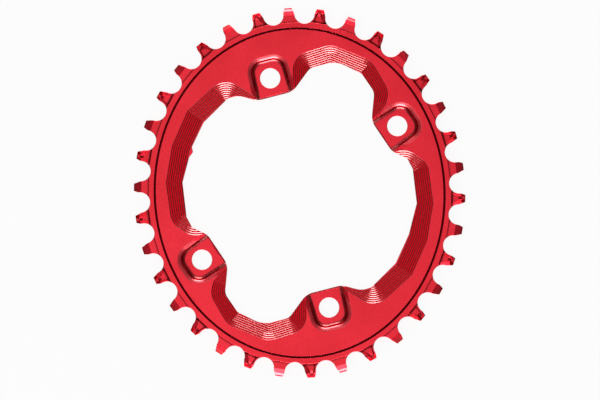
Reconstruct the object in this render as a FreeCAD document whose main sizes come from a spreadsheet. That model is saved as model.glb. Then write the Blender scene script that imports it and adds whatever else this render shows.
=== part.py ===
import FreeCAD, Part
import math
import os
import Sketcher

# Oval bicycle chainring, one machined plate of aluminium.
# It lies flat: back face on z = 0, front face up, centre of the bolt circle on the origin.
# The four bolt holes are the corners of a rectangle whose long sides run along Y.

os.makedirs("parts", exist_ok=True)
doc = FreeCAD.newDocument("chainring")
sheet = doc.addObject("Spreadsheet::Sheet", "sizes")

# Driving sizes in millimetres and degrees
SIZES = [
    # chain and oval
    ("chain_pitch", 12.7),
    ("oval_ratio", 1.123),
    ("oval_lean", 114.05),
    ("gap_radius", 4.1),
    # tooth outline, heights above the line that joins the roller centres on both sides
    ("tooth_tip_height", 2.62),
    ("lead_tip_width", 1.25),
    ("trail_shoulder", 0.9),
    ("trail_tip_width", 1.68),
    # plate
    ("plate_thick", 4.6),
    ("step_sharp_below", 0.32),
    ("opening_sharp_below", 0.18),
    # groove that parts the toothed rim from the face
    ("groove_inset", 6.1),
    ("groove_width", 0.9),
    ("groove_depth", 0.9),
    # bolt circle
    ("bolt_circle", 96.0),
    ("bolt_spread", 70.0),
    ("bolt_hole", 8.2),
    # seats for the arms of the crank
    ("seat_depth", 2.4),
    ("seat_reach", 6.5),
    ("seat_open_width", 13.4),
    ("seat_top_width", 11.4),
    ("seat_corner", 3.7),
    ("seat_draft", 26.0),
    ("seat_lip", 0.45),
    ("seat_lip_slope", 72.0),
    ("seat_foot", 0.5),
    ("seat_foot_slope", 48.0),
    ("seat_length", 24.0),
    ("tab_chamfer", 0.45),
    ("tool_spare", 0.5),
    # stepped bevel round the opening
    ("step_width", 0.85),
    ("step_rise", 0.27),
    ("step_slope", 45.0),
    # tooth faces, levels measured from the middle plane of the chain
    ("wide_level", 2.0),
    ("base_line", 3.4),
    ("wide_bevel_start", 0.45),
    ("wide_bevel_mid", 1.3),
    ("wide_bevel_level", 1.45),
    ("wide_tip_level", 0.65),
    ("rib_level", 1.15),
    ("flank_fall", 0.265),
    ("floor_level", 0.85),
    ("narrow_bevel_start", 0.15),
    ("narrow_bevel_mid", 1.0),
    ("narrow_bevel_level", 0.47),
    ("narrow_tip_level", 0.35),
    ("tip_bevel_start", 0.75),
    ("rib_start", 2.9),
    ("ridge_across", 0.55),
    ("floor_foot", 2.75),
    ("floor_foot_trail", 1.85),
    ("floor_foot_lead", 2.05),
    ("floor_kink", 1.1),
    ("floor_kink_lead", 0.75),
    ("floor_head", 0.9),
    ("floor_head_trail", 1.15),
    ("floor_head_lead", 0.15),
    ("slope_middle", 0.5),
    ("slope_width", 1.3),
    ("wall_foot_lead", 5.6),
    ("wall_foot_trail", 5.0),
    ("wall_kink_lead", 4.8),
    ("wall_head", 4.0),
    ("relief_top", 3.2),
]

# Corners of the opening for half the ring: place kind, two place numbers, corner radius.
# "polar" is distance and angle from the origin.
# "low" and "high" are across and outward from the first and second bolt hole.
OPENING = [
    ("polar", 46.9, 32.6, 2.5),
    ("low", 13.0, -4.1, 3.0),
    ("low", 7.1, -7.6, 5.9),
    ("low", -7.6, -7.5, 7.6),
    ("low", -16.6, 0.1, 5.0),
    ("polar", 54.5, 83.1, 4.7),
    ("polar", 55.5, 95.2, 10.8),
    ("high", 16.7, 0.0, 4.6),
    ("high", 7.6, -7.5, 7.4),
    ("high", -7.3, -7.5, 7.4),
    ("high", -14.6, -3.4, 7.9),
    ("polar", 48.1, 148.0, 1.2),
    ("polar", 48.3, 164.4, 1.0),
    ("polar", 47.4, 179.7, 0.5),
    ("polar", 47.7, 195.5, 0.7),
]

# Pointed nub on the left edge of the opening: it takes the place of the corner near 180 degrees.
NUB = [
    ("polar", 47.5, 177.5, 0.8),
    ("polar", 46.3, 179.7, 0.2),
    ("polar", 47.1, 182.8, 0.8),
]
NUB_CORNER = 13

# Corners of the top edge of the stepped bevel for half the ring, in the same three kinds.
BEVEL = [
    ("low", 10.8, -1.6, 8.0),
    ("low", 7.5, -7.2, 0.5),
    ("low", -7.6, -6.1, 0.5),
    ("low", -9.8, 0.9, 6.0),
    ("low", -13.3, 5.2, 8.0),
    ("polar", 60.9, 82.1, 8.2),
    ("polar", 61.5, 98.7, 8.4),
    ("high", 11.1, 6.2, 7.6),
    ("high", 7.8, -6.6, 0.5),
    ("high", -7.7, -5.9, 0.5),
    ("polar", 55.9, 143.8, 8.2),
    ("polar", 56.3, 164.3, 9.5),
    ("polar", 55.1, 180.3, 10.0),
    ("polar", 54.3, 196.2, 3.0),
    ("polar", 53.3, 213.5, 7.0),
]

TOOTH_COUNT = 34
STEP_COUNT = 9


def write_cell(row, alias, value):
    sheet.set("A%d" % row, alias)
    sheet.set("B%d" % row, str(value))
    sheet.setAlias("B%d" % row, alias)


row = 1
for alias, value in SIZES:
    write_cell(row, alias, value)
    row += 1
for title, corners in (("opening", OPENING), ("nub", NUB), ("bevel", BEVEL)):
    for number, (kind, first, second, radius) in enumerate(corners):
        write_cell(row, "%s_corner_%d_first" % (title, number), first)
        write_cell(row + 1, "%s_corner_%d_second" % (title, number), second)
        write_cell(row + 2, "%s_corner_%d_radius" % (title, number), radius)
        row += 3
doc.recompute()


def size(alias):
    return float(sheet.get(alias))


def vector(x, y, z=0.0):
    return FreeCAD.Vector(x, y, z)


# Places on the ring
def polar(distance, angle):
    turn = math.radians(angle)
    return vector(distance * math.cos(turn), distance * math.sin(turn))


def beside_hole(hole_angle, across, outward):
    turn = math.radians(hole_angle)
    reach = size("bolt_circle") / 2 + outward
    return vector(reach * math.cos(turn) + across * math.sin(turn),
                  reach * math.sin(turn) - across * math.cos(turn))


LOW_ANGLE = 90 - size("bolt_spread") / 2
HIGH_ANGLE = 90 + size("bolt_spread") / 2
HOLE_ANGLES = [LOW_ANGLE, HIGH_ANGLE, LOW_ANGLE + 180, HIGH_ANGLE + 180]


def corner_list(title, corners):
    places = []
    for number, entry in enumerate(corners):
        first = size("%s_corner_%d_first" % (title, number))
        second = size("%s_corner_%d_second" % (title, number))
        radius = size("%s_corner_%d_radius" % (title, number))
        if entry[0] == "polar":
            place = polar(first, second)
        elif entry[0] == "low":
            place = beside_hole(LOW_ANGLE, first, second)
        else:
            place = beside_hole(HIGH_ANGLE, first, second)
        places.append((place, radius))
    return places


def half_turn(places):
    return [(vector(-place.x, -place.y), radius) for place, radius in places]


# Rounded outlines
def rounded_outline(places, inset=0.0, sharp_below="step_sharp_below"):
    """Lines and arcs of a closed outline run anticlockwise, moved inward by inset.

    A corner that its radius would blunt by less than that size stays sharp."""
    count = len(places)
    points = []
    radii = []
    for i in range(count):
        here, radius = places[i]
        way_in = (here - places[i - 1][0]).normalize()
        way_out = (places[(i + 1) % count][0] - here).normalize()
        side_in = vector(-way_in.y, way_in.x)
        side_out = vector(-way_out.y, way_out.x)
        turn = way_in.x * way_out.y - way_in.y * way_out.x
        share = inset / (1 + side_in.dot(side_out))
        points.append(here + (side_in + side_out) * share)
        moved = radius - inset if turn > 0 else radius + inset
        blunting = moved * (math.sqrt(2 / (1 + way_in.dot(way_out))) - 1)
        radii.append(moved if blunting > size(sharp_below) else 0.0)
    starts = []
    ends = []
    middles = []
    for i in range(count):
        to_before = (points[i - 1] - points[i]).normalize()
        to_after = (points[(i + 1) % count] - points[i]).normalize()
        half = to_before.getAngle(to_after) / 2
        reach = radii[i] / math.tan(half)
        starts.append(points[i] + to_before * reach)
        ends.append(points[i] + to_after * reach)
        inward = (to_before + to_after).normalize()
        middles.append(points[i] + inward * (radii[i] / math.sin(half) - radii[i]))
    edges = []
    for i in range(count):
        if radii[i] > 0:
            edges.append(Part.Arc(starts[i], middles[i], ends[i]))
        edges.append(Part.LineSegment(ends[i], starts[(i + 1) % count]))
    return edges


# Oval of the roller centres: every chord is one chain pitch
def next_roller(long_half, short_half, turn, pitch):
    low = turn
    high = turn + 0.5
    start = vector(long_half * math.cos(turn), short_half * math.sin(turn))
    for _ in range(60):
        middle = (low + high) / 2
        place = vector(long_half * math.cos(middle), short_half * math.sin(middle))
        if (place - start).Length < pitch:
            low = middle
        else:
            high = middle
    return (low + high) / 2


def roller_turns(long_half):
    short_half = long_half / size("oval_ratio")
    pitch = size("chain_pitch")
    turns = [math.asin(pitch / 2 / short_half)]
    for _ in range(TOOTH_COUNT // 2 - 1):
        turns.append(next_roller(long_half, short_half, turns[-1], pitch))
    return turns


def solve_long_half():
    radius = size("chain_pitch") * TOOTH_COUNT / 2 / math.pi
    low = radius * 0.8
    high = radius * 1.4
    for _ in range(60):
        middle = (low + high) / 2
        turns = roller_turns(middle)
        if turns[0] + turns[-1] > math.pi:
            low = middle
        else:
            high = middle
    return (low + high) / 2


LONG_HALF = solve_long_half()
SHORT_HALF = LONG_HALF / size("oval_ratio")
half_turns = roller_turns(LONG_HALF)
ROLLERS = []
for turn in half_turns + [turn + math.pi for turn in half_turns]:
    lean = math.radians(size("oval_lean"))
    x = LONG_HALF * math.cos(turn)
    y = SHORT_HALF * math.sin(turn)
    ROLLERS.append(vector(x * math.cos(lean) - y * math.sin(lean), x * math.sin(lean) + y * math.cos(lean)))
print("oval of the roller centres %.2f by %.2f mm" % (2 * LONG_HALF, 2 * SHORT_HALF))


def tooth_frame(number):
    """Middle between two roller centres, clockwise way and outward way."""
    first = ROLLERS[number - 1]
    second = ROLLERS[number % TOOTH_COUNT]
    clockwise = (first - second).normalize()
    outward = vector(-clockwise.y, clockwise.x)
    return (first + second) / 2, clockwise, outward


def tooth_outline():
    half_gap = size("chain_pitch") / 2 - size("gap_radius")
    rows = []
    for number in range(TOOTH_COUNT):
        middle, clockwise, outward = tooth_frame(number)
        local = [
            (half_gap, 0.0),
            (size("lead_tip_width"), size("tooth_tip_height")),
            (-size("trail_tip_width"), size("tooth_tip_height")),
            (-half_gap, size("trail_shoulder")),
            (-half_gap, 0.0),
        ]
        rows.append([middle + clockwise * across + outward * up for across, up in local])
    edges = []
    for number in range(TOOTH_COUNT):
        points = rows[number]
        for i in range(len(points) - 1):
            edges.append(Part.LineSegment(points[i], points[i + 1]))
        roller = ROLLERS[number]
        after = rows[(number + 1) % TOOTH_COUNT][0]
        inward = ((points[-1] - roller) + (after - roller)).normalize()
        if inward.dot(roller) > 0:
            inward = inward * -1
        edges.append(Part.Arc(points[-1], roller + inward * size("gap_radius"), after))
    return edges


# Sketch and feature helpers
def new_body(name):
    return doc.addObject("PartDesign::Body", name)


def origin_plane(body, role):
    for item in body.Origin.OriginFeatures:
        if item.Role == role:
            return item
    raise RuntimeError("no plane " + role)


def new_sketch(body, name, role="XY_Plane", lift=None):
    sketch = body.newObject("Sketcher::SketchObject", name)
    sketch.AttachmentSupport = [(origin_plane(body, role), "")]
    sketch.MapMode = "FlatFace"
    if lift is not None:
        sketch.setExpression("AttachmentOffset.Base.z", lift)
    return sketch


def bound_polygon(body, name, points, role="XY_Plane", lift=None):
    """Closed polygon whose corners are held by expressions on the sheet."""
    sketch = new_sketch(body, name, role, lift)
    doc.recompute()
    count = len(points)
    values = [(evaluate(across), evaluate(up)) for across, up in points]
    for i in range(count):
        start = vector(*values[i])
        end = vector(*values[(i + 1) % count])
        sketch.addGeometry(Part.LineSegment(start, end), False)
    for i in range(count):
        sketch.addConstraint(Sketcher.Constraint("Coincident", i, 2, (i + 1) % count, 1))
    for i in range(count):
        across = sketch.addConstraint(Sketcher.Constraint("DistanceX", i, 1, values[i][0]))
        sketch.setExpression("Constraints[%d]" % across, points[i][0])
        up = sketch.addConstraint(Sketcher.Constraint("DistanceY", i, 1, values[i][1]))
        sketch.setExpression("Constraints[%d]" % up, points[i][1])
    return sketch


def evaluate(expression):
    return float(sheet.evalExpression(expression))


def add_feature(body, kind, name, sketch, length=None, reversed_way=False, through=False, taper=None):
    feature = body.newObject("PartDesign::" + kind, name)
    feature.Profile = sketch
    feature.Reversed = reversed_way
    if through:
        feature.Type = 1
    if length is not None:
        feature.setExpression("Length", length)
    if taper is not None:
        feature.setExpression("TaperAngle", taper)
    before = 0.0 if body.Shape.isNull() else body.Shape.Volume
    body.Tip = feature
    doc.recompute()
    print("%-18s volume %9.1f to %9.1f" % (name, before, body.Shape.Volume))
    return feature


def oval(inset):
    """Oval parallel to that of the roller centres, moved inward by inset."""
    end = polar(LONG_HALF - inset, size("oval_lean"))
    side = polar(SHORT_HALF - inset, size("oval_lean") + 90)
    return Part.Ellipse(end, side, vector(0, 0))


# Plate blank, an oval that reaches past the tooth tips
plate = new_body("plate")
blank_sketch = new_sketch(plate, "blank_sketch")
blank_sketch.addGeometry(oval(-size("tooth_tip_height") - 2), False)
add_feature(plate, "Pad", "plate_blank", blank_sketch, "sizes.plate_thick")

# Four seats, open toward the middle: a flat lip, a steep wall and a sloped foot
def seat_outlines(wider):
    """Outlines of the four seats at the floor, moved outward by wider."""
    edges = []
    top = size("seat_reach")
    low_end = top - size("seat_length")
    open_half = size("seat_open_width") / 2
    top_half = size("seat_top_width") / 2
    for angle in HOLE_ANGLES:
        corners = [
            (beside_hole(angle, -open_half, low_end), size("seat_corner")),
            (beside_hole(angle, open_half, low_end), size("seat_corner")),
            (beside_hole(angle, top_half, top), size("seat_corner")),
            (beside_hole(angle, -top_half, top), size("seat_corner")),
        ]
        edges += rounded_outline(corners, -wider)
    return edges


def seat_pocket(name, wider, lift, depth, taper):
    sketch = new_sketch(plate, name + "_sketch", lift=lift)
    sketch.addGeometry(seat_outlines(wider), False)
    return add_feature(plate, "Pocket", name, sketch, depth, taper=taper)


foot_spread = evaluate("sizes.seat_foot * tan(sizes.seat_foot_slope)")
wall_spread = evaluate("(sizes.seat_depth - sizes.seat_lip - sizes.seat_foot) * tan(sizes.seat_draft)")
lip_spread = evaluate("sizes.seat_lip * tan(sizes.seat_lip_slope)")
seat_pocket("seat_lips", foot_spread + wall_spread + lip_spread, "sizes.plate_thick",
            "sizes.seat_lip", "-sizes.seat_lip_slope")
seat_pocket("arm_seats", foot_spread + wall_spread, "sizes.plate_thick - sizes.seat_lip",
            "sizes.seat_depth - sizes.seat_lip - sizes.seat_foot", "-sizes.seat_draft")
seat_pocket("seat_feet", foot_spread, "sizes.plate_thick - sizes.seat_depth + sizes.seat_foot",
            "sizes.seat_foot", "-sizes.seat_foot_slope")
print("seat spread: foot %.2f, wall %.2f, lip %.2f" % (foot_spread, wall_spread, lip_spread))

# Groove between rim and face
groove_half = size("groove_width") / 2
groove_sketch = new_sketch(plate, "groove_sketch", lift="sizes.plate_thick")
groove_sketch.addGeometry(oval(size("groove_inset") - groove_half), False)
groove_sketch.addGeometry(oval(size("groove_inset") + groove_half), False)
add_feature(plate, "Pocket", "rim_groove", groove_sketch, "sizes.groove_depth")

# Opening in the middle
opening_half = corner_list("opening", OPENING)
nub = corner_list("nub", NUB)
left_half = opening_half[:NUB_CORNER] + nub + opening_half[NUB_CORNER + 1:]
opening_sketch = new_sketch(plate, "opening_sketch", lift="sizes.plate_thick")
opening_outline = rounded_outline(left_half + half_turn(opening_half), 0.0, "opening_sharp_below")
opening_sketch.addGeometry(opening_outline, False)
add_feature(plate, "Pocket", "opening", opening_sketch, through=True)

# Bolt holes
hole_sketch = new_sketch(plate, "hole_sketch", lift="sizes.plate_thick")
for angle in HOLE_ANGLES:
    index = hole_sketch.addGeometry(
        Part.Circle(beside_hole(angle, 0, 0), vector(0, 0, 1), size("bolt_hole") / 2), False)
    bound = hole_sketch.addConstraint(Sketcher.Constraint("Diameter", index, size("bolt_hole")))
    hole_sketch.setExpression("Constraints[%d]" % bound, "sizes.bolt_hole")
add_feature(plate, "Pocket", "bolt_holes", hole_sketch, through=True)
print("plate faces", len(plate.Shape.Faces), "valid", plate.Shape.isValid())

# Broken front edge of the tabs: the opening outline widened in a slope, kept to the seats
tab_slope = new_body("tab_slope")
tab_level = "sizes.plate_thick - sizes.seat_depth"
plain_places = opening_half + half_turn(opening_half)
slope_high = new_sketch(tab_slope, "slope_high", lift=tab_level + " + sizes.tool_spare")
high_inset = -size("tab_chamfer") - size("tool_spare")
high_outline = rounded_outline(plain_places, high_inset, "opening_sharp_below")
slope_high.addGeometry(high_outline, False)
slope_low = new_sketch(tab_slope, "slope_low", lift=tab_level + " - sizes.tab_chamfer - sizes.tool_spare")
low_outline = rounded_outline(plain_places, size("tool_spare"), "opening_sharp_below")
slope_low.addGeometry(low_outline, False)
slope_loft = tab_slope.newObject("PartDesign::AdditiveLoft", "slope_loft")
slope_loft.Profile = slope_high
slope_loft.Sections = [slope_low]
slope_loft.Ruled = True
tab_slope.Tip = slope_loft

seat_block = new_body("seat_block")
block_sketch = new_sketch(seat_block, "block_sketch", lift=tab_level + " + sizes.tool_spare")
block_sketch.addGeometry(seat_outlines(size("tab_chamfer") / 2), False)
add_feature(seat_block, "Pad", "seat_blocks", block_sketch,
            "sizes.tab_chamfer + 2 * sizes.tool_spare", reversed_way=True)

tab_break = doc.addObject("Part::Common", "tab_break")
tab_break.Base = tab_slope
tab_break.Tool = seat_block

# Stepped bevel: each step starts one width further in and one rise lower
stepped_bevel = new_body("stepped_bevel")
bevel_half = corner_list("bevel", BEVEL)
bevel_places = bevel_half + half_turn(bevel_half)
for step in range(STEP_COUNT):
    step_sketch = new_sketch(stepped_bevel, "step_sketch_%d" % step,
                             lift="sizes.plate_thick - %d * sizes.step_rise" % step)
    step_outline = rounded_outline(bevel_places, step * size("step_width"))
    step_sketch.addGeometry(step_outline, False)
    add_feature(stepped_bevel, "Pad", "bevel_step_%d" % step, step_sketch, "sizes.step_rise",
                reversed_way=True, taper="-sizes.step_slope")

# Tooth form: the whole outline of the teeth as a plain prism
tooth_form = new_body("tooth_form")
outline_sketch = new_sketch(tooth_form, "outline_sketch")
outline_sketch.addGeometry(tooth_outline(), False)
add_feature(tooth_form, "Pad", "tooth_prism", outline_sketch, "sizes.plate_thick")

# Reliefs that run straight across a tooth: both faces of a wide one, the back of a narrow one
relief_reach = "sizes.tooth_tip_height + 2 * sizes.tool_spare"


def cross_relief(name, profile):
    """Cut across a tooth, drawn in the plane of tooth height and level."""
    body = new_body(name)
    points = [("-sizes.base_line", "sizes.relief_top")] + profile
    points += [(relief_reach, profile[-1][1]), (relief_reach, "sizes.relief_top")]
    sketch = bound_polygon(body, name + "_sketch", points, "YZ_Plane")
    cut = add_feature(body, "Pad", name + "_cut", sketch, "sizes.chain_pitch")
    cut.Midplane = True
    return body


wide_relief = cross_relief("wide_relief", [
    ("-sizes.base_line", "sizes.wide_level"),
    ("-sizes.wide_bevel_start", "sizes.wide_level"),
    ("sizes.wide_bevel_mid", "sizes.wide_bevel_level"),
    ("sizes.tooth_tip_height", "sizes.wide_tip_level"),
])
wide_back = cross_relief("wide_back", [
    ("-sizes.base_line", "sizes.wide_level"),
    ("-sizes.wide_bevel_start", "sizes.wide_level"),
    ("sizes.tooth_tip_height", "sizes.wide_tip_level"),
])
narrow_back = cross_relief("narrow_back", [
    ("-sizes.base_line", "sizes.rib_level"),
    ("sizes.tip_bevel_start", "sizes.rib_level"),
    ("sizes.tooth_tip_height", "sizes.narrow_tip_level"),
])

# Relief of a narrow tooth: recessed floor with drafted walls, rib, ridge and tip bevel
narrow_relief = new_body("narrow_relief")
deep_points = [
    ("-sizes.floor_foot_trail", "-sizes.floor_foot"),
    ("sizes.floor_foot_lead", "-sizes.floor_foot"),
    ("sizes.floor_kink_lead", "-sizes.floor_kink"),
    ("sizes.floor_head_lead", "sizes.floor_head"),
    ("sizes.floor_head_lead", relief_reach),
    ("-sizes.floor_head_trail", relief_reach),
    ("-sizes.floor_head_trail", "sizes.floor_head"),
]
wide_points = [
    ("-sizes.wall_foot_trail", "-sizes.base_line"),
    ("sizes.wall_foot_lead", "-sizes.base_line"),
    ("sizes.wall_kink_lead", "-sizes.floor_kink"),
    ("sizes.wall_head", "sizes.floor_head"),
    ("sizes.wall_head", relief_reach),
    ("-sizes.wall_head", relief_reach),
    ("-sizes.wall_head", "sizes.floor_head"),
]
floor_low = bound_polygon(narrow_relief, "floor_low", deep_points, lift="sizes.floor_level")
floor_high = bound_polygon(narrow_relief, "floor_high", wide_points, lift="sizes.relief_top")
floor_cut = narrow_relief.newObject("PartDesign::AdditiveLoft", "floor_cut")
floor_cut.Profile = floor_low
floor_cut.Sections = [floor_high]
floor_cut.Ruled = True
narrow_relief.Tip = floor_cut
doc.recompute()
print("floor cut volume %.2f" % narrow_relief.Shape.Volume)

rib_points = [
    ("-sizes.chain_pitch / 2", "sizes.rib_level"),
    ("sizes.ridge_across", "sizes.rib_level"),
    ("sizes.chain_pitch / 2",
     "sizes.rib_level - (sizes.chain_pitch / 2 - sizes.ridge_across) * sizes.flank_fall"),
    ("sizes.chain_pitch / 2", "sizes.relief_top"),
    ("-sizes.chain_pitch / 2", "sizes.relief_top"),
]
rib_sketch = bound_polygon(narrow_relief, "rib_sketch", rib_points, "XZ_Plane", "sizes.rib_start")
add_feature(narrow_relief, "Pad", "rib_cut", rib_sketch,
            "sizes.rib_start + " + relief_reach, reversed_way=True)

# Sloping end of the floor, no wider than the floor itself
slope_points = [
    ("-sizes.narrow_bevel_start", "sizes.floor_level"),
    ("sizes.narrow_bevel_mid", "sizes.narrow_bevel_level"),
    (relief_reach, "sizes.narrow_bevel_level"),
    (relief_reach, "sizes.relief_top"),
    ("-sizes.narrow_bevel_start", "sizes.relief_top"),
]
slope_sketch = bound_polygon(narrow_relief, "slope_sketch", slope_points, "YZ_Plane",
                             "-sizes.slope_middle")
slope_cut = add_feature(narrow_relief, "Pad", "slope_cut", slope_sketch, "sizes.slope_width")
slope_cut.Midplane = True

tip_points = [
    ("sizes.tip_bevel_start", "sizes.relief_top"),
    ("sizes.tip_bevel_start", "sizes.rib_level"),
    ("sizes.tooth_tip_height", "sizes.narrow_tip_level"),
    (relief_reach, "sizes.narrow_tip_level"),
    (relief_reach, "sizes.relief_top"),
]
tip_sketch = bound_polygon(narrow_relief, "tip_sketch", tip_points, "YZ_Plane")
tip_cut = add_feature(narrow_relief, "Pad", "tip_cut", tip_sketch, "sizes.chain_pitch")
tip_cut.Midplane = True
doc.recompute()

# Reliefs set round the ring, front and back
middle_plane = size("plate_thick") / 2
pieces = []
for number in range(TOOTH_COUNT):
    front_relief = wide_relief if number % 2 == 0 else narrow_relief
    back_relief = wide_back if number % 2 == 0 else narrow_back
    middle, clockwise, outward = tooth_frame(number)
    front = front_relief.Shape.copy()
    back = back_relief.Shape.mirror(vector(0, 0), vector(0, 0, 1))
    turn = FreeCAD.Rotation(clockwise, outward, vector(0, 0, 1), "ZXY")
    place = FreeCAD.Placement(vector(middle.x, middle.y, middle_plane), turn)
    for shape in (front, back):
        shape.Placement = place.multiply(shape.Placement)
        pieces.append(shape)
tooth_reliefs = doc.addObject("Part::Feature", "tooth_reliefs")
tooth_reliefs.Shape = Part.makeCompound(pieces)

broken_plate = doc.addObject("Part::Cut", "broken_plate")
broken_plate.Base = plate
broken_plate.Tool = tab_break

bevelled_plate = doc.addObject("Part::Cut", "bevelled_plate")
bevelled_plate.Base = broken_plate
bevelled_plate.Tool = stepped_bevel

toothed_plate = doc.addObject("Part::Common", "toothed_plate")
toothed_plate.Base = bevelled_plate
toothed_plate.Tool = tooth_form

ring = doc.addObject("Part::Cut", "ring")
ring.Base = toothed_plate
ring.Tool = tooth_reliefs
ring.Label = "chainring"
doc.recompute()
print("ring faces", len(ring.Shape.Faces), "solids", len(ring.Shape.Solids),
      "volume %.1f" % ring.Shape.Volume)

# Every object must be sound before the export
for item in doc.Objects:
    if "Invalid" in item.State or "Error" in item.State:
        raise RuntimeError("not sound: " + item.Name)
for item in (plate, stepped_bevel, tooth_form, wide_relief, wide_back, narrow_relief, narrow_back, ring):
    if item.Shape.isNull() or not item.Shape.isValid():
        raise RuntimeError("shape not sound: " + item.Name)
if len(ring.Shape.Solids) != 1:
    raise RuntimeError("the ring is one piece")
ring.Shape.exportStep("parts/chainring.step")
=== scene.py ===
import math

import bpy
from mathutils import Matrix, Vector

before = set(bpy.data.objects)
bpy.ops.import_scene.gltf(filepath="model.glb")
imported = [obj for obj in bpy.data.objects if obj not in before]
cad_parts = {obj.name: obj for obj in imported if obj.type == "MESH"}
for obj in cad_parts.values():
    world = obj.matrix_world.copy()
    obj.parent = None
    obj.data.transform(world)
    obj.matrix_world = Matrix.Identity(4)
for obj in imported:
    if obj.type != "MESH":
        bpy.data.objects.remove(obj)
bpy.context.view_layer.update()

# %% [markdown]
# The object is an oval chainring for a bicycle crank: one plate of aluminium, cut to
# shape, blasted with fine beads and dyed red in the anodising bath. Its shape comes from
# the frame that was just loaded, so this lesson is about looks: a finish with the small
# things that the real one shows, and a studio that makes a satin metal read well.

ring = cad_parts["chainring"]
print("chainring:", len(ring.data.polygons), "facets")

# %% [markdown]
# Lights and camera are easiest to place as the eye sees the picture: right, up, and out
# of the face toward the eye. In the frame the picture's up stands at 110.6 degrees, which
# is a quarter turn and 20.6 degrees more. One small helper turns a place from the one
# into the other. It is written once here and used by everything in the studio.

# %% Picture directions
PICTURE_TURN = math.radians(20.6)
FACE_LEVEL = 0.0046


def from_picture(right, up, out):
    """A place given as the eye sees it, in metres, as a place in the frame."""
    return Matrix.Rotation(PICTURE_TURN, 4, "Z") @ Vector((right, up, out))


print("picture's up in the frame:", [round(part, 3) for part in from_picture(0, 1, 0)])

# %% [markdown]
# A node material is a small chain of machines. It could be wired by hand in the shader
# editor, but a chain as long as this one reads better as a few lines of script, so some
# short helpers come first: one adds a node and fills its sockets, one starts an empty
# material, and one blends two colours. A socket that gets a plain number has it written
# on itself, so that it also survives in other programs.

# %% Node helpers
def add_node(tree, kind, values=None, **settings):
    """A new node with its settings made and its sockets filled or joined."""
    node = tree.nodes.new("ShaderNode" + kind)
    for name, value in settings.items():
        setattr(node, name, value)
    for socket, value in (values or {}).items():
        if isinstance(value, bpy.types.NodeSocket):
            tree.links.new(value, node.inputs[socket])
        else:
            node.inputs[socket].default_value = value
    return node


def blank_material(name):
    """A material with no nodes yet, and that material's tree."""
    material = bpy.data.materials.new(name)
    material.use_nodes = True
    material.node_tree.nodes.clear()
    return material, material.node_tree


def blend_colours(tree, amount, first, second):
    """The first colour where amount is 0, and the second where it is 1."""
    node = add_node(tree, "Mix", {0: amount, 6: first, 7: second}, data_type="RGBA")
    return node.outputs[2]


print("node helpers ready")

# %% [markdown]
# Masks are sums on numbers from 0 to 1: times means "and", the largest means "or", and
# one less the mask means "not". Four more helpers do these sums. The one that stretches a
# value from one range to another does it softly, so that no mask ends in a hard line.

# %% Mask helpers
def combine(tree, operation, first, second):
    """One number from two, by the operation that is named."""
    return add_node(tree, "Math", {0: first, 1: second}, operation=operation).outputs[0]


def largest(tree, values):
    """The largest of several numbers."""
    result = values[0]
    for value in values[1:]:
        result = combine(tree, "MAXIMUM", result, value)
    return result


def stretch(tree, value, low, high, new_low=0.0, new_high=1.0):
    """The value's span from low to high, drawn out smoothly to a new span."""
    node = add_node(tree, "MapRange", {"Value": value, "From Min": low, "From Max": high,
                                       "To Min": new_low, "To Max": new_high},
                    interpolation_type="SMOOTHSTEP")
    return node.outputs["Result"]


def upright_part(tree, vector):
    """The third part of a vector: the height of a place, or how upright a normal is."""
    return add_node(tree, "SeparateXYZ", {0: vector}).outputs["Z"]


print("mask helpers ready")

# %% [markdown]
# The seats for the crank's arms have broad rounded lips on the real ring, left by a large
# round cutter. A mask of them could be painted, but that needs an unwrapped mesh and an
# image. Here it is worked out from the places of the four bolt holes instead: 1 on a
# seat's lip and wall, and 0 elsewhere and at the rim of the hole itself.

# %% Seat mask
BOLT_CIRCLE = 0.096
HOLE_ANGLES = (55, 125, 235, 305)
SEAT_SHIFT = 0.0015
SEAT_REACH = 0.0090
HOLE_KEEP = 0.0050
SOFT_BAND = 0.0005


def polar_point(distance, angle):
    """A point in the plane of the back, by distance and angle from the centre."""
    turn = math.radians(angle)
    return distance * math.cos(turn), distance * math.sin(turn), 0.0


def flat_distance(tree, place, point):
    """How far a place is from an upright line through the point."""
    flat = add_node(tree, "VectorMath", {0: place, 1: (1, 1, 0)}, operation="MULTIPLY")
    gap = add_node(tree, "VectorMath", {0: flat.outputs[0], 1: point}, operation="DISTANCE")
    return gap.outputs["Value"]


def nearest(tree, place, distance):
    """How far a place is from the nearest of four lines, one in each hole's direction."""
    result = flat_distance(tree, place, polar_point(distance, HOLE_ANGLES[0]))
    for angle in HOLE_ANGLES[1:]:
        gap = flat_distance(tree, place, polar_point(distance, angle))
        result = combine(tree, "MINIMUM", result, gap)
    return result


def seat_mask(tree, place):
    """1 on the lips and walls of the four seats, 0 elsewhere."""
    to_seat = nearest(tree, place, BOLT_CIRCLE / 2 + SEAT_SHIFT)
    to_hole = nearest(tree, place, BOLT_CIRCLE / 2)
    near = stretch(tree, to_seat, SEAT_REACH, SEAT_REACH - SOFT_BAND)
    clear = stretch(tree, to_hole, HOLE_KEEP, HOLE_KEEP + SOFT_BAND)
    return combine(tree, "MULTIPLY", near, clear)


print("seats at", HOLE_ANGLES, "degrees")

# %% [markdown]
# The groove between rim and face follows the oval of the teeth. Its mouth is sharp on the
# real ring, so it gets a mask too: the place is turned and squeezed until the oval is a
# circle of radius 1, and a place near that circle is near the groove. The height is
# divided by a very large number, which takes it out of the sum.

# %% Groove mask
OVAL_LEAN = math.radians(114.05)
GROOVE_LONG_HALF = 0.0667
GROOVE_SHORT_HALF = 0.0587
GROOVE_REACH = 0.0010
GROOVE_CORE = 0.8
NO_HEIGHT = 1e6


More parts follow.
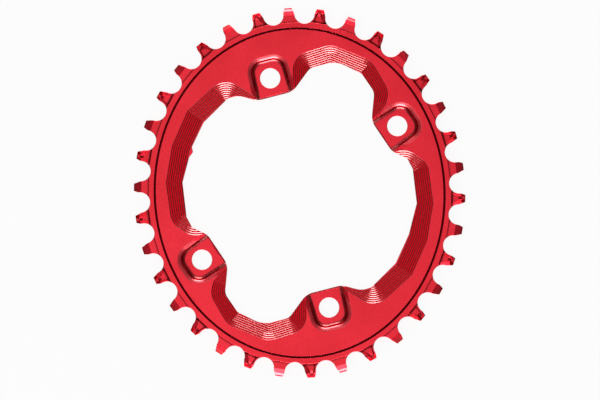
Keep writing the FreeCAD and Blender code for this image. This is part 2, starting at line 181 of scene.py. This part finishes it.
def groove_mask(tree, place):
    """1 at the groove and its mouth, 0 elsewhere."""
    turned = add_node(tree, "VectorRotate", {"Vector": place, "Angle": -OVAL_LEAN},
                      rotation_type="Z_AXIS").outputs[0]
    halves = (GROOVE_LONG_HALF, GROOVE_SHORT_HALF, NO_HEIGHT)
    squeezed = add_node(tree, "VectorMath", {0: turned, 1: halves}, operation="DIVIDE")
    size = add_node(tree, "VectorMath", {0: squeezed.outputs[0]}, operation="LENGTH")
    off_circle = combine(tree, "SUBTRACT", size.outputs["Value"], 1.0)
    away = combine(tree, "ABSOLUTE", off_circle, 0.0)
    reach = GROOVE_REACH / GROOVE_SHORT_HALF
    return stretch(tree, away, reach, reach * GROOVE_CORE)


print("groove oval: %.1f by %.1f mm" % (2000 * GROOVE_LONG_HALF, 2000 * GROOVE_SHORT_HALF))

# %% [markdown]
# No edge of a blasted part is quite sharp. Edges could be rounded in the mesh with a Bevel
# modifier, but the frame's mesh stays as it is here, so the Bevel node rounds the normal
# in the shading instead, with a radius that differs from place to place: broad on the
# seats, small elsewhere, and next to nothing at the groove. Where the rounded normal
# leaves the plain one there is an edge, and there the dye is thinner and paler.

# %% Rounded edges
SHARP_ROUND = 0.00005
SMALL_ROUND = 0.0002
SEAT_ROUND = 0.0009
NEAR_SAMPLES = 16
EDGE_MATCH = (0.995, 0.80)


def rounded_normal(tree, seats, groove):
    """The normal, rounded near the edges by a radius that fits each kind of edge."""
    small = stretch(tree, groove, 0.0, 1.0, SMALL_ROUND, SHARP_ROUND)
    broad = stretch(tree, seats, 0.0, 1.0, 0.0, SEAT_ROUND)
    radius = combine(tree, "ADD", small, broad)
    node = add_node(tree, "Bevel", {"Radius": radius}, samples=NEAR_SAMPLES)
    return node.outputs["Normal"]


def edge_mask(tree, rounded, plain, groove):
    """1 where the rounded normal leaves the plain one, except at the groove."""
    match = add_node(tree, "VectorMath", {0: rounded, 1: plain}, operation="DOT_PRODUCT")
    leaving = stretch(tree, match.outputs["Value"], *EDGE_MATCH)
    return combine(tree, "MULTIPLY", leaving, combine(tree, "SUBTRACT", 1.0, groove))


print("edges rounded by %.1f mm, seats by %.1f mm" % (1000 * SMALL_ROUND, 1000 * SEAT_ROUND))

# %% [markdown]
# In grooves and at the feet of steps the red is darkened as painted shade. The Ambient
# Occlusion node tells how open a place is within a short reach, which finds these places
# from the shape alone. The groove is so narrow that its walls are taken as a corner from
# top to bottom. A foot is a fainter corner, so it counts less.

# %% Corners and feet, where shade is painted
CORNER_REACH = 0.0011
CORNER_OPEN = (0.95, 0.60)
FOOT_OPEN = (0.98, 0.82)
FOOT_SHARE = 0.7
GROOVE_WALL_LEAN = (0.97, 0.90)


def painted_shade_masks(tree, groove, upright):
    """Masks for painted shade: tight corners with the groove's walls, and the fainter feet of
    the steps.
    """
    openness = add_node(tree, "AmbientOcclusion", {"Distance": CORNER_REACH},
                        samples=NEAR_SAMPLES, only_local=True).outputs["AO"]
    walls = combine(tree, "MULTIPLY", stretch(tree, upright, *GROOVE_WALL_LEAN), groove)
    feet = combine(tree, "MULTIPLY", stretch(tree, openness, *FOOT_OPEN), FOOT_SHARE)
    return {"corners": largest(tree, [stretch(tree, openness, *CORNER_OPEN), walls]),
            "feet": feet}


print("corners found within %.1f mm" % (1000 * CORNER_REACH))

# %% [markdown]
# The stepped bevel round the opening is made of nine small stairs. Their steep sides and
# their flat treads take the light in different ways, so each gets a mask. How upright
# the plain normal is tells a slope from a flat: the first number of each pair is where a
# surface starts to count, and the second is where it counts in full. Inside the oval of
# the teeth a slope of 40 degrees counts, and among the teeth only a steeper one. Below
# the level of the tabs lie only the broken edges of the tabs, cut last of all.
# All of it follows from the shape alone and not from the eye, so every view agrees.

# %% Slopes, treads and tab breaks
INNER_REACH = 0.0600
TAB_LEVEL = 0.0022
LEVEL_GAP = 0.00005
BREAK_GAP = 0.00003
STEP_LEAN = (0.90, 0.76)
STEEP_LEAN = (0.78, 0.66)
STEEP_SHARE = 0.85
TREAD_LEAN = (0.96, 0.99)
BREAK_LEAN = 0.3


def inner_mask(tree, place):
    """1 inside a circle that keeps clear of the teeth, 0 among the teeth."""
    from_middle = flat_distance(tree, place, (0, 0, 0))
    return stretch(tree, from_middle, INNER_REACH + SOFT_BAND, INNER_REACH)


def step_masks(tree, upright, height, inner):
    """Steep sides, flat treads and the broken edges of the tabs."""
    sides = combine(tree, "MULTIPLY", stretch(tree, upright, *STEP_LEAN), inner)
    steep = combine(tree, "MULTIPLY", stretch(tree, upright, *STEEP_LEAN), STEEP_SHARE)
    under_face = combine(tree, "LESS_THAN", height, FACE_LEVEL - LEVEL_GAP)
    over_tabs = combine(tree, "GREATER_THAN", height, TAB_LEVEL + LEVEL_GAP)
    between = combine(tree, "MULTIPLY", combine(tree, "MULTIPLY", under_face, over_tabs), inner)
    under_tabs = combine(tree, "LESS_THAN", height, TAB_LEVEL - BREAK_GAP)
    facing_up = combine(tree, "GREATER_THAN", upright, BREAK_LEAN)
    breaks = combine(tree, "MULTIPLY", combine(tree, "MULTIPLY", under_tabs, facing_up), inner)
    return {"step sides": sides, "slopes": largest(tree, [sides, steep]),
            "treads": combine(tree, "MULTIPLY", between, stretch(tree, upright, *TREAD_LEAN)),
            "tab breaks": breaks}


print("steps between %.1f and %.1f mm up" % (1000 * TAB_LEVEL, 1000 * FACE_LEVEL))

# %% [markdown]
# The teeth have sloped parts of three kinds. Flanks lean sideways along the chain, beside
# a narrow tooth: the cross product of the way outward and the normal tells how far.
# Bevels slope down to the outer end of a tooth, and tips are the lowest part of them.

# %% Tooth masks
TIP_LEVEL = 0.00325
TIP_LEAN = (0.945, 0.93)
BEVEL_LEAN = (0.92, 0.88)
FLANK_LEAN = (0.36, 0.46)


def tooth_masks(tree, place, plain, upright, height, inner):
    """Flanks, bevels and tips of the teeth, and 0 for all inside the teeth."""
    outward = add_node(tree, "VectorMath", {0: place}, operation="NORMALIZE").outputs[0]
    turning = add_node(tree, "VectorMath", {0: outward, 1: plain}, operation="CROSS_PRODUCT")
    sideways = combine(tree, "ABSOLUTE", upright_part(tree, turning.outputs[0]), 0.0)
    below_tip = combine(tree, "LESS_THAN", height, TIP_LEVEL)
    tip_slope = stretch(tree, upright, *TIP_LEAN)
    kinds = {"flanks": stretch(tree, sideways, *FLANK_LEAN),
             "bevels": stretch(tree, upright, *BEVEL_LEAN),
             "tips": combine(tree, "MULTIPLY", tip_slope, below_tip)}
    outer = combine(tree, "SUBTRACT", 1.0, inner)
    return {kind: combine(tree, "MULTIPLY", mask, outer) for kind, mask in kinds.items()}


print("tips below %.2f mm" % (1000 * TIP_LEVEL))

# %% [markdown]
# Now the masks come together. Each seat has a gentle lip and a steep wall, told apart by
# how upright they are. One more thing is done for the steps: the beads have worn the
# edge of each real stair round, so it mirrors the room from a little higher than a plain
# slope of 45 degrees would. A small push upward on its normal gives that, and a push the
# other way keeps the broken edges of the tabs from mirroring the lamp overhead.

# %% All masks and the lifted normal
LIP_LEAN = (0.985, 0.965)
SEAT_WALL_LEAN = (0.80, 0.70)
STEP_LIFT = 0.30
TAB_BREAK_LIFT = -0.35


def lifted_normal(tree, rounded, masks):
    """The rounded normal, pushed upward on the steps and downward at the tab breaks."""
    push = stretch(tree, masks["tab breaks"], 0.0, 1.0, STEP_LIFT, TAB_BREAK_LIFT)
    upward = combine(tree, "MULTIPLY", masks["step sides"], push)
    lift = add_node(tree, "CombineXYZ", {"Z": upward}).outputs[0]
    lifted = add_node(tree, "VectorMath", {0: rounded, 1: lift}, operation="ADD").outputs[0]
    return add_node(tree, "VectorMath", {0: lifted}, operation="NORMALIZE").outputs[0]


def shape_masks(tree, place):
    """The normal to shade with, and a mask from 0 to 1 for each kind of surface."""
    seats, groove = seat_mask(tree, place), groove_mask(tree, place)
    rounded = rounded_normal(tree, seats, groove)
    plain = add_node(tree, "NewGeometry").outputs["True Normal"]
    upright, height = upright_part(tree, plain), upright_part(tree, place)
    inner = inner_mask(tree, place)
    lip_slope = stretch(tree, upright, *LIP_LEAN)
    wall_slope = stretch(tree, upright, *SEAT_WALL_LEAN)
    masks = {"edges": edge_mask(tree, rounded, plain, groove),
             "lips": combine(tree, "MULTIPLY", seats, lip_slope),
             "seat walls": combine(tree, "MULTIPLY", seats, wall_slope)}
    masks.update(painted_shade_masks(tree, groove, upright))
    masks.update(step_masks(tree, upright, height, inner))
    masks.update(tooth_masks(tree, place, plain, upright, height, inner))
    return lifted_normal(tree, rounded, masks), masks


print("steps lifted by %.2f, tab breaks by %.2f" % (STEP_LIFT, TAB_BREAK_LIFT))

# %% [markdown]
# The dye is one red all over, yet it doesn't look like one. A slow cloud of noise varies
# it a little over centimetres, as a bath does. Treads, slopes, walls, flanks and tips get
# darker reds, which are painted shade, and so do the corners and the broken edges of the
# tabs. These reds could be separate materials on separate faces, but then each would end
# in a hard line, so they are laid over one another here, in the order of the list.

# %% Dye colours and painted shade
FLAT_RED = (0.78, 0.012, 0.030, 1)
CLOUD_RED = (0.68, 0.007, 0.020, 1)
EDGE_RED = (0.90, 0.10, 0.13, 1)
# Painted shade: the red laid in corners, on the groove's walls and at the feet of steps.
CORNER_SHADE_RED = (0.06, 0.0, 0.001, 1)
# Painted shade: a darker red on the broken edges of the tabs.
TAB_BREAK_SHADE_RED = (0.28, 0.001, 0.005, 1)
# Painted shade: darker reds on treads, flanks, slopes, seat walls and tips.
SHADE_REDS_BY_KIND = {
    "treads": (0.64, 0.003, 0.012, 1),
    "flanks": (0.20, 0.002, 0.005, 1),
    "slopes": (0.38, 0.001, 0.004, 1),
    "seat walls": (0.24, 0.0, 0.003, 1),
    "tips": (0.62, 0.001, 0.006, 1),
}
EDGE_SHARE = 0.2
CLOUD_SCALE, CLOUD_DETAIL = 38, 3
CLOUD_SPAN = (0.35, 0.70)


def dye_and_painted_shade(tree, place, masks):
    """The base colour: the dye clouded, darker reds laid on as painted shade, and paler edges.
    """
    cloud = add_node(tree, "TexNoise", {"Vector": place, "Scale": CLOUD_SCALE,
                                        "Detail": CLOUD_DETAIL}).outputs[0]
    clouded = stretch(tree, cloud, *CLOUD_SPAN)
    colour = blend_colours(tree, clouded, FLAT_RED, CLOUD_RED)
    # The darker reds by kind of surface are painted shade.
    for kind, red in SHADE_REDS_BY_KIND.items():
        colour = blend_colours(tree, masks[kind], colour, red)
    faint_edges = combine(tree, "MULTIPLY", masks["edges"], EDGE_SHARE)
    colour = blend_colours(tree, faint_edges, colour, EDGE_RED)
    # Painted shade in corners, on the groove's walls and at the feet of steps.
    corner_shade = largest(tree, [masks["corners"], masks["feet"]])
    colour = blend_colours(tree, corner_shade, colour, CORNER_SHADE_RED)
    # Painted shade on the broken edges of the tabs.
    return blend_colours(tree, masks["tab breaks"], colour, TAB_BREAK_SHADE_RED)


print("reds laid over the flat one:", ", ".join(SHADE_REDS_BY_KIND))

# %% [markdown]
# Anodising leaves a thin hard clear skin over the metal. The dyed metal gives the red
# gleam, and the skin gives a white one over it. The white gleam is plain on the smooth
# cut steps and lips, faint on the blasted face, and lost in corners and on walls. The
# coat of the Principled shader is such a skin, so the masks say how much of it shows.

# %% Clear skin
FLAT_SKIN = 0.09
SKIN_BY_KIND = {"slopes": 0.75, "lips": 0.5, "bevels": 0.33}
KINDS_WITH_NO_SKIN = ("corners", "tab breaks", "flanks", "tips", "seat walls", "treads")


def clear_skin(tree, masks):
    """How much of the white gleam of the clear skin shows, kind by kind."""
    shares = [combine(tree, "MULTIPLY", masks[kind], share)
              for kind, share in SKIN_BY_KIND.items()]
    hidden = largest(tree, [masks[kind] for kind in KINDS_WITH_NO_SKIN])
    shown = combine(tree, "SUBTRACT", 1.0, hidden)
    return combine(tree, "MULTIPLY", largest(tree, shares + [FLAT_SKIN]), shown)


print("skin on the flats %.2f, on slopes %.2f" % (FLAT_SKIN, SKIN_BY_KIND["slopes"]))

# %% [markdown]
# The beads leave a fine grain about a tenth of a millimetre across, on faint patches
# about ten times as broad. Real pits in the mesh would take millions of facets, and noise
# as bump gives the same look for nothing. The patches also make the roughness uneven.

# %% Bead grain
PIT_SCALE, PIT_STRENGTH, PIT_DEPTH = 7500, 0.10, 0.00003
PATCH_SCALE, PATCH_STRENGTH, PATCH_DEPTH = 900, 0.05, 0.00006
GRAIN_DETAIL = 2
PATCH_SPAN = (0.3, 0.7)
SMOOTHEST, ROUGHEST = 0.27, 0.36


def grain_noise(tree, place, scale):
    """Noise of one grain size, as a height from 0 to 1."""
    return add_node(tree, "TexNoise", {"Vector": place, "Scale": scale,
                                       "Detail": GRAIN_DETAIL}).outputs[0]


def bead_grain(tree, place, normal):
    """Normal and roughness left by the beads: fine pits on faint broader patches."""
    pits = grain_noise(tree, place, PIT_SCALE)
    patches = grain_noise(tree, place, PATCH_SCALE)
    fine = add_node(tree, "Bump", {"Height": pits, "Normal": normal,
                                   "Strength": PIT_STRENGTH,
                                   "Distance": PIT_DEPTH}).outputs[0]
    broad = add_node(tree, "Bump", {"Height": patches, "Normal": fine,
                                    "Strength": PATCH_STRENGTH,
                                    "Distance": PATCH_DEPTH}).outputs[0]
    return broad, stretch(tree, patches, *PATCH_SPAN, SMOOTHEST, ROUGHEST)


print("pits about %.2f mm across" % (1000 / PIT_SCALE))

# %% [markdown]
# The finish is one Principled shader. Three quarters of it is metal, which mirrors the
# room in the dye's red. The rest scatters light plainly, as a blasted surface does, and
# keeps the dark sides red instead of black. The tint makes the gleam red also where the
# metal is seen at a slant. The skin bends light strongly, so that its white shows.

# %% Red anodised finish
METAL_SHARE = 0.75
PLAIN_GLOSS = 0.2
SLANT_TINT = (1.0, 0.30, 0.35, 1)
SKIN_ROUGHNESS = 0.24
SKIN_BENDING = 2.4


def red_anodised():
    """The ring's finish: dyed metal with a clear skin over bead-blasted grain."""
    material, tree = blank_material("red_anodised_satin")
    place = add_node(tree, "TexCoord").outputs["Object"]
    normal, masks = shape_masks(tree, place)
    grain, roughness = bead_grain(tree, place, normal)
    shader = add_node(tree, "BsdfPrincipled", {
        "Base Color": dye_and_painted_shade(tree, place, masks), "Metallic": METAL_SHARE,
        "Roughness": roughness, "Normal": grain,
        "Specular IOR Level": PLAIN_GLOSS, "Specular Tint": SLANT_TINT,
        "Coat Weight": clear_skin(tree, masks), "Coat Roughness": SKIN_ROUGHNESS,
        "Coat IOR": SKIN_BENDING, "Coat Normal": grain})
    add_node(tree, "OutputMaterial", {"Surface": shader.outputs[0]})
    return material


finish = red_anodised()
for slot in ring.material_slots:
    slot.material = finish
print("finish on", len(ring.material_slots), "slot:", finish.name)

# %% [markdown]
# The ring lies on a plain pale sheet. The sheet is a real diffuse surface, so it keeps the
# soft shadow. Where the eye or a gleam on the metal looks at it, most of it is plain
# white of strength 1, which gives the white ground of a catalogue picture with no
# more light on the object.

# %% Floor
FLOOR_SIDE = 12.0
FLOOR_WHITE_SHARE = 0.92
PAPER_WHITE = (0.93, 0.93, 0.93, 1)
PAPER_ROUGHNESS = 0.9
PAPER_GLOSS = 0.1
PURE_WHITE = (1, 1, 1, 1)


def seen_directly(tree):
    """1 for what the eye, a gleam or a look through glass sees, and 0 for plain light."""
    path = add_node(tree, "LightPath").outputs
    return largest(tree, [path["Is Camera Ray"], path["Is Glossy Ray"],
                          path["Is Transmission Ray"]])


def floor_sheet():
    """A wide pale sheet under the ring."""
    bpy.ops.mesh.primitive_plane_add(size=FLOOR_SIDE)
    floor = bpy.context.object
    floor.name = "floor"
    material, tree = blank_material("pale_sheet")
    paper = add_node(tree, "BsdfPrincipled", {"Base Color": PAPER_WHITE,
                                              "Roughness": PAPER_ROUGHNESS,
                                              "Specular IOR Level": PAPER_GLOSS})
    white = add_node(tree, "Emission", {"Color": PURE_WHITE, "Strength": 1.0})
    share = combine(tree, "MULTIPLY", seen_directly(tree), FLOOR_WHITE_SHARE)
    mixed = add_node(tree, "MixShader", {0: share, 1: paper.outputs[0], 2: white.outputs[0]})
    add_node(tree, "OutputMaterial", {"Surface": mixed.outputs[0]})
    floor.data.materials.append(material)
    return floor


floor = floor_sheet()
print("floor side: %.0f m" % FLOOR_SIDE)

# %% [markdown]
# A satin metal shows its surroundings as broad soft gleams, so the studio is built for its
# reflections. A large soft light overhead fills the flat face with its own plain colour.
# Past the top of the picture stand a low strip and a higher board, and past the bottom
# another pair. The stepped bevel and the lips of the seats catch them as white lines.
# The pairs show only in gleams, so they add no plain light to the scene. Each brightness
# is a share of the one at which a white thing looks plainly white.

# %% Soft lights
FACE = (0, 0, FACE_LEVEL)
OVERHEAD = ("overhead", (-0.45, -0.22, 1.1), 1.3, 1.3, 0.97)
GLEAM_BOARDS = (
    ("strip_past_top", (0, 0.75, 0.26), 0.50, 0.30, 9.0),
    ("board_past_top", (0, 0.75, 0.55), 0.50, 0.30, 10.0),
    ("strip_past_bottom", (0, -0.75, 0.26), 0.62, 0.30, 12.0),
    ("board_past_bottom", (0, -0.75, 0.66), 0.55, 0.35, 12.0),
)


def aim_at_face(thing, place):
    """Put a light or a card at a place as the eye sees it, turned to the ring's face."""
    thing.location = from_picture(*place)
    way = from_picture(*FACE) - thing.location
    thing.rotation_euler = way.to_track_quat("-Z", "Y").to_euler()
    thing.visible_camera = False


def soft_light(name, place, width, height, brightness):
    """A soft panel light. Brightness 1 shows white objects plainly."""
    light = bpy.data.lights.new(name, "AREA")
    light.shape = "RECTANGLE"
    light.size = width
    light.size_y = height
    light.energy = brightness * math.pi * width * height
    panel = bpy.data.objects.new(name, light)
    bpy.context.collection.objects.link(panel)
    aim_at_face(panel, place)
    return panel


soft_light(*OVERHEAD)
for board in GLEAM_BOARDS:
    soft_light(*board).visible_diffuse = False
print("lights:", [light.name for light in bpy.data.lights])

# %% [markdown]
# Two large cards to the left and the right keep the steps and the teeth that face them
# deep red. A photographer holds black card beside polished metal for the same reason.
# These are dark below and paler toward the top, so that the gentle lips of the seats
# don't end in a black line. They too show only in gleams and throw no shadow.

# %% Dark cards
CARD_PLACES = {"card_left": (-0.60, 0, 0.50), "card_right": (0.60, 0, 0.50)}
CARD_WIDTH, CARD_TALL = 1.8, 1.15
CARD_DARK_BELOW, CARD_PALE_ABOVE = 0.45, 1.05
CARD_DARK, CARD_PALE = 0.06, 0.30


def dark_card(name, place):
    """A card that only the gleams on the metal see, dark below and paler above."""
    bpy.ops.mesh.primitive_plane_add(size=1)
    card = bpy.context.object
    card.name = name
    card.scale = (CARD_WIDTH, CARD_TALL, 1)
    aim_at_face(card, place)
    material, tree = blank_material(name)
    height = upright_part(tree, add_node(tree, "NewGeometry").outputs["Position"])
    glow = stretch(tree, height, CARD_DARK_BELOW, CARD_PALE_ABOVE, CARD_DARK, CARD_PALE)
    grey = add_node(tree, "Emission", {"Color": PURE_WHITE, "Strength": glow})
    add_node(tree, "OutputMaterial", {"Surface": grey.outputs[0]})
    card.data.materials.append(material)
    card.visible_diffuse = False
    card.visible_shadow = False


for card_name, card_place in CARD_PLACES.items():
    dark_card(card_name, card_place)
print("cards:", ", ".join(CARD_PLACES))

# %% [markdown]
# The world is the rest of the room: even pale light from everywhere, a good deal less than
# plain white, so that the shadow under the ring stays soft. Together with the large soft
# light it comes to a brightness of about 1, at which a colour looks as it is.

# %% World
ROOM_LIGHT = 0.5
world = bpy.data.worlds.new("pale_room")
bpy.context.scene.world = world
world.use_nodes = True
world.node_tree.nodes.clear()
room = add_node(world.node_tree, "Background", {"Color": PURE_WHITE, "Strength": ROOM_LIGHT})
add_node(world.node_tree, "OutputWorld", {"Surface": room.outputs[0]})
print("room light:", ROOM_LIGHT)

# %% [markdown]
# The picture looks straight at the face. A long lens from two metres keeps the teeth free
# of slant all round. The picture is 243 mm wide at the face, and its middle lies a little
# below the middle of the ring.

# %% Camera
PICTURE_WIDTH = 0.243
PICTURE_MIDDLE = (0.00015, -0.00288)
LENS = 300.0
SENSOR = 36.0
EYE_HEIGHT = PICTURE_WIDTH * LENS / SENSOR

eye = bpy.data.cameras.new("eye")
eye.lens = LENS
eye.sensor_width = SENSOR
camera = bpy.data.objects.new("eye", eye)
bpy.context.collection.objects.link(camera)
camera.location = from_picture(*PICTURE_MIDDLE, FACE_LEVEL + EYE_HEIGHT)
camera.rotation_euler = (0, 0, PICTURE_TURN)
bpy.context.scene.camera = camera
bpy.context.scene.view_settings.view_transform = "Standard"
print("eye height: %.3f m" % EYE_HEIGHT)
